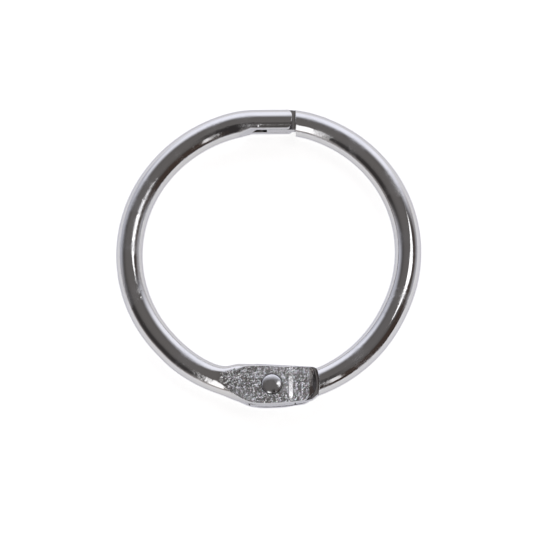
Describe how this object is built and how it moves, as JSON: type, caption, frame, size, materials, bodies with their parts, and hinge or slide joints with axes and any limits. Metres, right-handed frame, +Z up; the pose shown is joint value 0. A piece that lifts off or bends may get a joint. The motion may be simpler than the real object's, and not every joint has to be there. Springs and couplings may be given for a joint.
{
  "type": "hinged key ring",
  "caption": "Round hinged key ring of bright plated wire: two half rings joined by a riveted fork hinge, with a snap closure opposite.",
  "frame": {"origin": "centre of the bounding box in plan, on the plane the ring lies on", "axes": "+Z up through the ring's opening, the shortest extent; +Y towards the snap closure, the longest extent, with the riveted hinge at -Y; +X towards the half that swings"},
  "size_m": [0.046, 0.0468, 0.004],
  "materials": {
    "plated_wire": "polished",
    "plated_rivet": "polished"
  },
  "bodies": {
    "fork_side": {"fork_half": "plated_wire", "hinge_rivet": "plated_rivet"},
    "tongue_side": {"tongue_half": "plated_wire"}
  },
  "joints": [
    {"name": "ring_hinge", "type": "hinge", "parent": "fork_side", "child": "tongue_side", "pos_m": [0.00065, -0.02034, 0.002], "axis": [0, 0, -1], "range_deg": [0, 100]}
  ]
}
